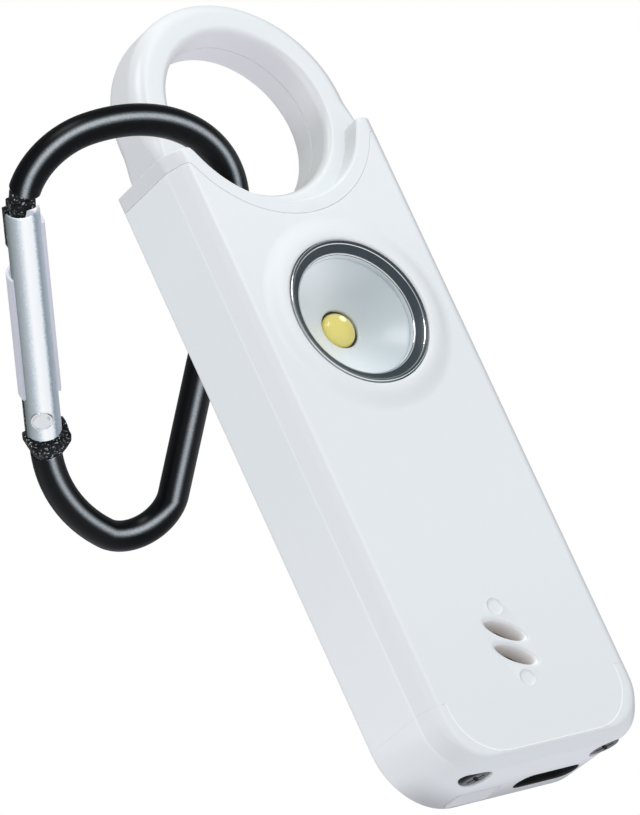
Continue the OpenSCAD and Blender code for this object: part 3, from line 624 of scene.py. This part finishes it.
capHoles += [(circleRing(*at, screws["pocket"] + screws["soft"]), at, screws["wall"]) for at in screwsAt]
capHoles.append((padLoop, padAt, pad["wall"]))


# the end face, away from its edges
def onEndFlat(c):
    low, high = capEnd["flatY"]
    return abs(c.x) < capEnd["flatX"] and c.z < capEnd["flatZ"] and low < c.y < high


capRims = cutHoles(capBm, onEndFlat, [loop for loop, at, wall in capHoles], capEnd["margin"])
for rim, (loop, at, wall) in zip(capRims, capHoles):
    holeWall(capBm, rim, at, wall)
finishPiece("endCapShell", capBm, [absCap], ["end_cap"], "body")

padBm = bmesh.new()
padRows = []
for inset, z in pad["edge"]:
    loop = boxRing(*padAt, pad["w"] - 2 * inset, pad["h"] - 2 * inset, pad["corner"] - inset)
    padRows.append([(x, y, z) for x, y in loop])
addGrid(padBm, padRows, True)
fillLoops(padBm, [padRows[-1]])
finishPiece("endPad", padBm, [rubberPad], None, "body")

# a near-black sleeve down the socket's walls: painted shade of the deep hole
portBm = bmesh.new()
portRows = []
for grow, z in port["lining"]:
    loop = stadiumRing(*portAt, port["w"] + 2 * grow, port["h"] + 2 * grow)
    portRows.append([(x, y, z) for x, y in loop])
addGrid(portBm, portRows, True)
finishPiece("portLining", portBm, [socketShadeBlack], None, "body")

screwBm = bmesh.new()
faceR, faceZ = screws["profile"][-1]
for cx, cy in screwsAt:
    spinProfile(screwBm, screws["profile"], (cx, cy, 0), zAxis, xAxis, 48)
    cross = []
    for k in range(4):
        c, s = math.cos(math.radians(45 + 90 * k)), math.sin(math.radians(45 + 90 * k))
        cross += [(u * c - v * s, u * s + v * c) for u, v in screws["cross"]]
    crossRim = [(cx + x, cy + y, faceZ) for x, y in cross]
    taper = screws["crossTaper"]
    crossFloor = [(cx + x * taper, cy + y * taper, screws["crossZ"]) for x, y in cross]
    fillLoops(screwBm, [[(x, y, faceZ) for x, y in circleRing(cx, cy, faceR, 48)], crossRim])
    addGrid(screwBm, [crossRim, crossFloor], True)
    fillLoops(screwBm, [crossFloor])
finishPiece("capScrews", screwBm, [blackSteel], ["end_screws"], "body", 28)
print("stage: end cap made")

# front, horn and back are depths of the top, and the X values say where they change
collar = {"saddle": 12.8, "rise": 2.0, "soft": 0.6, "clear": 0.025, "lowRoll": (0.05, 0.7), "bend": 0.4,
          "sideBend": 0.15, "sideX": 15.3, "front": 3.0, "horn": 4.8, "back": 3.6, "hornX": 11.4,
          "stopX": 12.9}
ring = {"inner": 10.5, "outer": 14.9, "root": 14.3, "rootZ": 6.6, "front": -3.7, "back": 3.5, "fold": 1.0,
        "edge": 2.0, "rootEdge": 1.0, "rootRun": 4.0, "seamY": -0.1,  # seam: depth and place across
        "seam": ((0.0, 0.11), (0.02, 0.07), (0.16, 0.0), (0.02, -0.07), (0.0, -0.11))}
topBm = bmesh.new()
collarSaddle = (collar["saddle"], shell["seamZ"] + collar["rise"], collar["soft"])
collarTop = [(x, y, saddleHeight(x, *collarSaddle)) for x, y, nx, ny in path]
collarBend = [collar["sideBend"] if abs(x) > collar["sideX"] else collar["bend"] for x, y, nx, ny in path]
collarDepth = []
for x, y, nx, ny in path:
    deep = collar["back"] if y > 0 else collar["horn"] if abs(x) > collar["hornX"] else collar["front"]
    collarDepth.append(min(deep, (abs(x) - collar["stopX"]) / abs(nx)) if abs(nx) > 0.3 else deep)
collarLow = [(x, y, z + collar["clear"]) for x, y, z in topEdge]
lowRoll = edgeRoll(collarLow, normals, *collar["lowRoll"], False)
highRoll = edgeRoll(collarTop, normals, collarBend, collarDepth, True, 5)
addGrid(topBm, list(reversed(lowRoll)) + highRoll, True)


# section of the ring as distance from its middle and y
def ringSection(outer, edge):
    inner, fold, back, front = ring["inner"], ring["fold"], ring["back"], ring["front"]
    corners = ((outer - edge, back - edge, edge), (inner + fold, back - fold, fold),
               (inner + fold, front + fold, fold), (outer - edge, front + edge, edge))
    out = []
    for index, (r, y, bend) in enumerate(corners):
        for k in range(9):
            a = math.radians(90 * index + 90 * k / 8)
            out.append((r + bend * math.cos(a), y + bend * math.sin(a)))
        if index == 1:
            out += [(inner + deep, ring["seamY"] + y) for deep, y in ring["seam"]]
    return out


ringRows = []
for k in range(240):
    a = math.radians(-90 + 1.5 * k)
    s, c = math.sin(a), abs(math.cos(a))
    outer, edge = ring["outer"], ring["edge"]
    if s < 0:  # the lower half runs straight down into the collar
        outer = max(ring["root"], min(ring["outer"] / max(c, 0.001), -ring["rootZ"] / s))
        edge -= (ring["edge"] - ring["rootEdge"]) * smooth(min(1.0, -s * ring["outer"] / ring["rootRun"]))
    ringRows.append([(r * math.cos(a), y, shell["ringZ"] + r * s) for r, y in ringSection(outer, edge)])
ringRows.append(ringRows[0])
addGrid(topBm, ringRows, True)
finishPiece("pullTopShell", topBm, [absRing], ["pull_top"], "pull_top")
print("stage: pull-off top made")

# profiles are distance from the lamp's middle and y; the bezel's runs are first and last point, look
bezel = {"profile": ((9.05, -5.9), (9.05, -6.74), (9.03, -6.81), (8.99, -6.85), (8.95, -6.86), (8.88, -6.83),
                     (8.8, -6.74), (8.72, -6.66), (8.69, -6.66), (8.66, -6.65), (8.63, -6.61), (8.3, -6.42),
                     (8.0, -6.25), (7.74, -6.1), (7.7, -6.09), (7.66, -6.1), (7.62, -6.09), (7.58, -6.05),
                     (7.54, -5.98), (7.48, -5.9), (7.42, -5.6), (7.4, -5.42)),
         "runs": ((0, 4, 1), (4, 7, 0), (7, 10, 1), (10, 13, 0), (13, 17, 1), (17, 18, 0), (18, 21, 2))}
cone = {"lip": ((7.38, -5.42), (7.3, -5.38), (7.15, -5.28)), "seat": 2.44, "deep": 3.0, "belly": 0.25,
        "neck": ((2.42, -2.2), (2.42, -1.93))}
dome = {"r": 2.16, "rise": 1.32, "y": -1.95, "shift": (-0.15, -0.08), "gap": ((2.48, -1.93), (1.6, -1.93))}
bezelBm = bmesh.new()
for start, end, look in bezel["runs"]:
    spinProfile(bezelBm, bezel["profile"][start:end + 1], (0, 0, boss["z"]), yAxis, xAxis, 160, look)
bezelLooks = [tintedAbs, chromePlate, absReflector]
finishPiece("bezelShell", bezelBm, bezelLooks, ["bezel_ring"], "body", 50)

coneBm = bmesh.new()
coneProfile = list(cone["lip"])
rimR, rimY = cone["lip"][-1]
for k in range(1, 21):
    t = k / 20
    y = rimY + cone["deep"] * t + cone["belly"] * math.sin(math.pi * t)
    coneProfile.append((rimR + (cone["seat"] - rimR) * t, y))
spinProfile(coneBm, coneProfile + list(cone["neck"]), (0, 0, boss["z"]), yAxis, xAxis)
finishPiece("reflectorCone", coneBm, [absReflector], ["reflector"], "body", 60)

ledBm = bmesh.new()
domeTurns = [math.pi / 2 * k / 14 for k in range(15)]
domeProfile = [(dome["r"] * math.sin(a), dome["y"] - dome["rise"] * math.cos(a)) for a in domeTurns]
spinProfile(ledBm, domeProfile, (dome["shift"][0], 0, boss["z"] + dome["shift"][1]), yAxis, xAxis, 64)
# a flat ring round the dome carries the painted shade of the gap
spinProfile(ledBm, dome["gap"], (0, 0, boss["z"]), yAxis, xAxis, 48, 1)
finishPiece("ledDome", ledBm, [phosphorDome, seatShade], ["led_dome"], "body", 50)
print("stage: lamp made")

# the carabiner lies in a plane of its own: e1 across, e2 up the gate, n out of it
# bends are radii in mm, lean, footEnd and the nose tip's first values are degrees
hook = {"at": Vector((-17.022, 34.171, 61.82)), "e1": Vector((0.921595, -0.388008, 0.010603)),
        "e2": Vector((-0.342468, -0.799965, 0.492718)), "n": Vector((-0.182696, -0.457718, -0.870124)),
        "rod": 1.85, "noseBend": 8.8, "wideBend": 17.2, "arch": 44.8, "lean": 15.3, "spine": 37.85,
        "foot": 5.3, "footEnd": 138.6, "heelY": 0.3, "noseY": 39.2,
        "noseTip": ((0.6, 0.01), (0.8, 0.08), (0.4, 0.25)),
        "glow": Vector((-0.412, -0.895, -0.172)), "glowWidth": 0.27}


def onHook(u, v, w=0.0):
    return hook["at"] + hook["e1"] * u + hook["e2"] * v + hook["n"] * w


def spinHook(bm, geom, center, turn, steps, slide=Vector((0, 0, 0))):
    spun = bmesh.ops.spin(bm, geom=geom, cent=onHook(*center) * mm, axis=hook["n"], dvec=slide * mm,
                          angle=math.radians(turn), steps=steps)
    return spun["geom_last"]


def edgesOf(geom):
    return [g for g in geom if isinstance(g, bmesh.types.BMEdge)]


lean, footTurn = math.radians(hook["lean"]), math.radians(hook["footEnd"])
noseC = Vector((hook["noseBend"], hook["arch"] - hook["noseBend"]))
wideC = Vector((hook["noseBend"], hook["arch"] - hook["wideBend"]))
leanOut = Vector((math.cos(lean), -math.sin(lean)))
leanDown = Vector((-math.sin(lean), -math.cos(lean)))
footC = wideC + leanOut * (hook["wideBend"] - hook["foot"]) + leanDown * hook["spine"]
footP = footC + hook["foot"] * Vector((math.cos(footTurn), -math.sin(footTurn)))
heelBend = footP.x / (1 - math.cos(math.pi - footTurn))
heelC = Vector((heelBend, footP.y + heelBend * math.sin(math.pi - footTurn)))
heelStop = math.degrees(math.asin((heelC.y - hook["heelY"]) / heelBend))
noseStart = 180 - math.degrees(math.asin((hook["noseY"] - noseC.y) / hook["noseBend"]))
rodStart = noseStart - sum(turn for turn, inset in hook["noseTip"])
spineSlide = onHook(*(leanDown * hook["spine"])) - hook["at"]
# middle, radius, first and last angle, steps of each bend
rodBends = ((noseC, hook["noseBend"], rodStart, 90, 36), (wideC, hook["wideBend"], 90, -hook["lean"], 56),
            (footC, hook["foot"], -hook["lean"], -hook["footEnd"], 40),
            (heelC, heelBend, -hook["footEnd"], heelStop - 180, 16))

hookBm = bmesh.new()
shine = hookBm.verts.layers.float.new("shine")
startOut = Vector((math.cos(math.radians(rodStart)), math.sin(math.radians(rodStart))))
startAt = onHook(*(noseC + startOut * hook["noseBend"])) * mm
startX = onHook(*startOut) - hook["at"]
placing = Matrix((startX, hook["n"], startX.cross(hook["n"]))).transposed().to_4x4()
placing.translation = startAt
startVerts = bmesh.ops.create_circle(hookBm, segments=72, radius=hook["rod"] * mm, matrix=placing)["verts"]
startRing = startVerts + list({e for v in startVerts for e in v.link_edges})
tip, width = startRing, hook["rod"]
for turn, inset in hook["noseTip"]:  # the nose's end is rounded a little
    tip = spinHook(hookBm, tip, noseC, turn, 1)
    tipVerts = [g for g in tip if isinstance(g, bmesh.types.BMVert)]
    middle = sum((v.co for v in tipVerts), Vector((0, 0, 0))) / len(tipVerts)
    share = (hook["rod"] - inset) / width
    bmesh.ops.scale(hookBm, vec=(share, share, share), verts=tipVerts, space=Matrix.Translation(-middle))
    width = hook["rod"] - inset
last = startRing
for center, radius, start, end, steps in rodBends:
    if center == footC:
        last = spinHook(hookBm, last, center, 0.0, 1, spineSlide)
    last = spinHook(hookBm, last, center, end - start, steps)
bmesh.ops.edgeloop_fill(hookBm, edges=edgesOf(tip) + edgesOf(last))

rodPath = []
for center, radius, start, end, steps in rodBends:
    for k in range(steps + 1):
        a = math.radians(start + (end - start) * k / steps)
        out = Vector((math.cos(a), math.sin(a)))
        run = onHook(-out.y, out.x) - hook["at"]
        crest = hook["glow"] - run * hook["glow"].dot(run)
        rodPath.append((onHook(*(center + out * radius)), crest))
rodNear = KDTree(len(rodPath))
for i, (middle, crest) in enumerate(rodPath):
    rodNear.insert(middle, i)
rodNear.balance()
# painted highlight: each point gets how close it lies to the rod's crest line
for v in hookBm.verts:
    middle, crest = rodPath[rodNear.find(v.co / mm)[1]]
    v[shine] = math.exp(-((v.co / mm - middle).angle(crest, 0.0) / hook["glowWidth"]) ** 2)
hookObj = finishPiece("carabinerRod", hookBm, [anodisedRod], ["carabiner_body"], "carabiner",
                      40)


# level slice of a pressed end: y, from u0 to u1 across, w to each side, corner radius
def crossBox(y, u0, u1, w, r, shift=0.0):
    out = []
    corners = ((u1 - r, w - r, 0), (u0 + r, w - r, 90), (u0 + r, r - w, 180), (u1 - r, r - w, 270))
    for cu, cw, start in corners:
        for k in range(5):
            a = math.radians(start + 22.5 * k)
            out.append(onHook(cu + r * math.cos(a), y, cw + r * math.sin(a) + shift))
    return out


pressedEnds = {
    "nose": ((38.25, -1.5, 1.6, 0.95, 0.3), (37.1, -1.55, 1.55, 0.95, 0.3)),
    "noseNeck": ((39.5, -1.0, 1.7, 0.8, 0.3), (38.2, -1.2, 1.6, 0.8, 0.3)),
    "noseTongue": [(y, -2.0, u, 0.42, 0.1, -0.5) for y, u in ((37.2, 1.0), (35.6, 0.6), (31.8, -1.0))],
    "heel": ((2.9, -2.1, 2.75, 1.5, 0.35), (2.7, -2.2, 2.8, 1.75, 0.4), (1.9, -2.2, 2.75, 1.8, 0.5),
             (1.0, -1.9, 2.3, 1.75, 0.8), (0.2, -1.5, 1.95, 1.6, 1.2)),
    "heelStop": ((4.1, 2.35, 2.65, 0.5, 0.12), (3.6, 2.25, 2.72, 0.9, 0.2), (2.6, 2.15, 2.78, 1.3, 0.25)),
    "heelTongue": [(y, -2.0, u, 0.42, 0.1, -0.5)
                   for y, u in ((9.3, -1.0), (7.7, 0.9), (5.0, 0.7), (2.6, 0.25))],
}
endsBm = bmesh.new()
for slices in pressedEnds.values():
    grid = addGrid(endsBm, [crossBox(*one) for one in slices], True)
    endsBm.faces.new(grid[0])
    endsBm.faces.new(list(reversed(grid[-1])))
endsObj = finishPiece("carabinerEnds", endsBm, [crackedPaint], None, "carabiner", 35)

# turns are degrees about the gate's axis; ends and levels are a place along it and how far in the edge is
gate = {"face": 113.8, "sheet": 0.36, "back": 0.4, "near": 2.12, "far": 2.5, "low": 3.46, "top": 36.97,
        "nearTurn": (62, -100), "rightTurn": (-82, -179), "leftTurn": (179, 48),
        "lowEnd": ((0.0, 0.18), (0.04, 0.08), (0.14, 0.02), (0.32, 0.0)),
        "topEnd": ((0.42, 0.0), (0.2, 0.02), (0.06, 0.08), (0.0, 0.18)),
        "rightLevels": ((9.55, 0.05), (9.7, 0.0), (34.6, 0.0), (34.8, 0.05)),
        "leftLevels": ((9.55, 0.05), (9.7, 0.0), (27.4, 0.0), (27.6, 0.05))}
gateBm = bmesh.new()
across = gateBm.verts.layers.float.new("across")


def gateSheet(levels, radius, start, end, look):
    section = [(radius - inset, y) for y, inset in levels]
    section += [(radius - gate["sheet"] + inset * gate["back"], y) for y, inset in reversed(levels)]
    a = math.radians(gate["face"] + start)
    verts = [gateBm.verts.new(onHook(r * math.cos(a), y, r * math.sin(a)) * mm) for r, y in section]
    edges = [gateBm.edges.new((verts[i - 1], verts[i])) for i in range(len(verts))]
    old = set(gateBm.faces)
    spun = bmesh.ops.spin(gateBm, geom=verts + edges, cent=hook["at"] * mm, axis=-hook["e2"], dvec=(0, 0, 0),
                          angle=math.radians(end - start), steps=40)
    bmesh.ops.edgeloop_fill(gateBm, edges=edges + edgesOf(spun["geom_last"]))
    for face in set(gateBm.faces) - old:
        face.material_index = look


nearLevels = [(gate["low"] + d, inset) for d, inset in gate["lowEnd"]]
flatLow, flatTop = nearLevels[-1][0], gate["top"] - gate["topEnd"][0][0]
nearLevels += [(flatLow + (flatTop - flatLow) * k / 12, 0.0) for k in range(1, 12)]
nearLevels += [(gate["top"] - d, inset) for d, inset in gate["topEnd"]]
gateSheet(nearLevels, gate["near"], *gate["nearTurn"], 0)
gateSheet(gate["rightLevels"], gate["far"], *gate["rightTurn"], 1)
gateSheet(gate["leftLevels"], gate["far"], *gate["leftTurn"], 1)
# the place across the gate's face, which sets the painted reflection bands
for v in gateBm.verts:
    arm = v.co / mm - hook["at"]
    turn = math.degrees(math.atan2(arm.dot(hook["n"]), arm.dot(hook["e1"]))) - gate["face"]
    v[across] = 0.5 + ((turn + 180) % 360 - 180) / 200
gateObj = finishPiece("gateShell", gateBm, [zincSheet, zincEdgePaintedLight], ["carabiner_gate"], "gate", 40)

rivet = {"y": 6.7, "head": ((0.0, 0.5), (0.3, 0.49), (0.6, 0.46), (0.85, 0.39), (1.02, 0.28), (1.12, 0.16),
                            (1.18, 0.12), (1.26, 0.12), (1.3, 0.06), (1.3, -0.4))}
rivetBm = bmesh.new()
rivetTurn = math.radians(gate["face"] - 90)
rivetOut = hook["e1"] * math.cos(rivetTurn) + hook["n"] * math.sin(rivetTurn)
rivetAxis = hook["n"] * math.cos(rivetTurn) - hook["e1"] * math.sin(rivetTurn)
for side in (1, -1):
    headProfile = [(r, side * (gate["near"] + h)) for r, h in rivet["head"]]
    spinProfile(rivetBm, headProfile, onHook(0, rivet["y"]), rivetAxis, rivetOut, 40)
rivetObj = finishPiece("gateRivet", rivetBm, [rivetSteel], ["gate_rivet"], "carabiner", 40)
for obj in (hookObj, endsObj, gateObj, rivetObj):  # the carabiner leaves no shade on the white shell
    obj.visible_shadow = False
    obj.visible_diffuse = False
print("stage: carabiner made")

floorBm = bmesh.new()
bmesh.ops.create_grid(floorBm, x_segments=1, y_segments=1, size=6.0, matrix=Matrix.Translation((0, 0, -0.6)))
floorMesh = bpy.data.meshes.new("floor")
floorBm.to_mesh(floorMesh)
floorBm.free()
floorObj = bpy.data.objects.new("floor", floorMesh)
scene.collection.objects.link(floorObj)
floorMesh.materials.append(newMaterial("floorPaper", "#EEEEF2", 0.9))  # matt paper, no shine

# fitted to the outline in a picture 815 px tall: place in mm, focal length and shift in px
photoCamera = {"eye": Vector((-536.44, -611.92, -182.79)), "right": Vector((0.76112, -0.50863, -0.40248)),
               "up": Vector((0.15098, -0.46454, 0.87259)), "toward": Vector((-0.63079, -0.72491, -0.27677)),
               "tall": 815.0, "focal": 7462.56, "shiftX": -0.28, "shiftY": -26.65}
camData = bpy.data.cameras.new("photoCamera")
camData.sensor_fit = "AUTO"
camData.sensor_width = 36.0
camData.lens = photoCamera["focal"] * camData.sensor_width / photoCamera["tall"]
camData.shift_x = photoCamera["shiftX"] / photoCamera["tall"]
camData.shift_y = photoCamera["shiftY"] / photoCamera["tall"]
camData.clip_start = 0.01
camData.clip_end = 20.0
camera = bpy.data.objects.new("photoCamera", camData)
scene.collection.objects.link(camera)
turned = Matrix((photoCamera["right"], photoCamera["up"], photoCamera["toward"])).transposed().to_4x4()
turned.translation = photoCamera["eye"] * mm
camera.matrix_world = turned
scene.camera = camera
print("stage: camera set")

# soft cool light all round, dimmer in shiny surfaces, white behind the object
world = bpy.data.worlds.new("whiteRoom")
scene.world = world
world.use_nodes = True
roomTree = world.node_tree
roomTree.nodes.clear()
rayKind = addNode(roomTree, "LightPath").outputs
roomLight = addNode(roomTree, "Background", {"Color": (0.965, 0.985, 1.0, 1), "Strength": 0.575})
roomShine = addNode(roomTree, "Background", {"Color": (0.95, 0.98, 1.0, 1), "Strength": 0.3})
roomWhite = addNode(roomTree, "Background", {"Color": (1, 1, 1, 1), "Strength": 1.0})
shineMix = addNode(roomTree, "MixShader", (rayKind["Is Glossy Ray"], roomLight, roomShine))
whiteMix = addNode(roomTree, "MixShader", (rayKind["Is Camera Ray"], shineMix, roomWhite))
addNode(roomTree, "OutputWorld", (whiteMix,))


def sunLight(name, source, share, spread):
    data = bpy.data.lights.new(name, "SUN")
    data.energy = share * math.pi
    data.angle = math.radians(spread)
    obj = bpy.data.objects.new(name, data)
    scene.collection.objects.link(obj)
    obj.rotation_euler = (-Vector(source)).to_track_quat("-Z", "Y").to_euler()


sunLight("keySun", (-0.35, -0.5, 0.79), 0.48, 30)
sunLight("frontSun", (0.1, -1.0, 0.1), 0.1, 80)
sunLight("leftSun", (-0.97, -0.05, 0.2), 0.08, 60)
print("stage: lights set")

scene.view_settings.view_transform = "Standard"
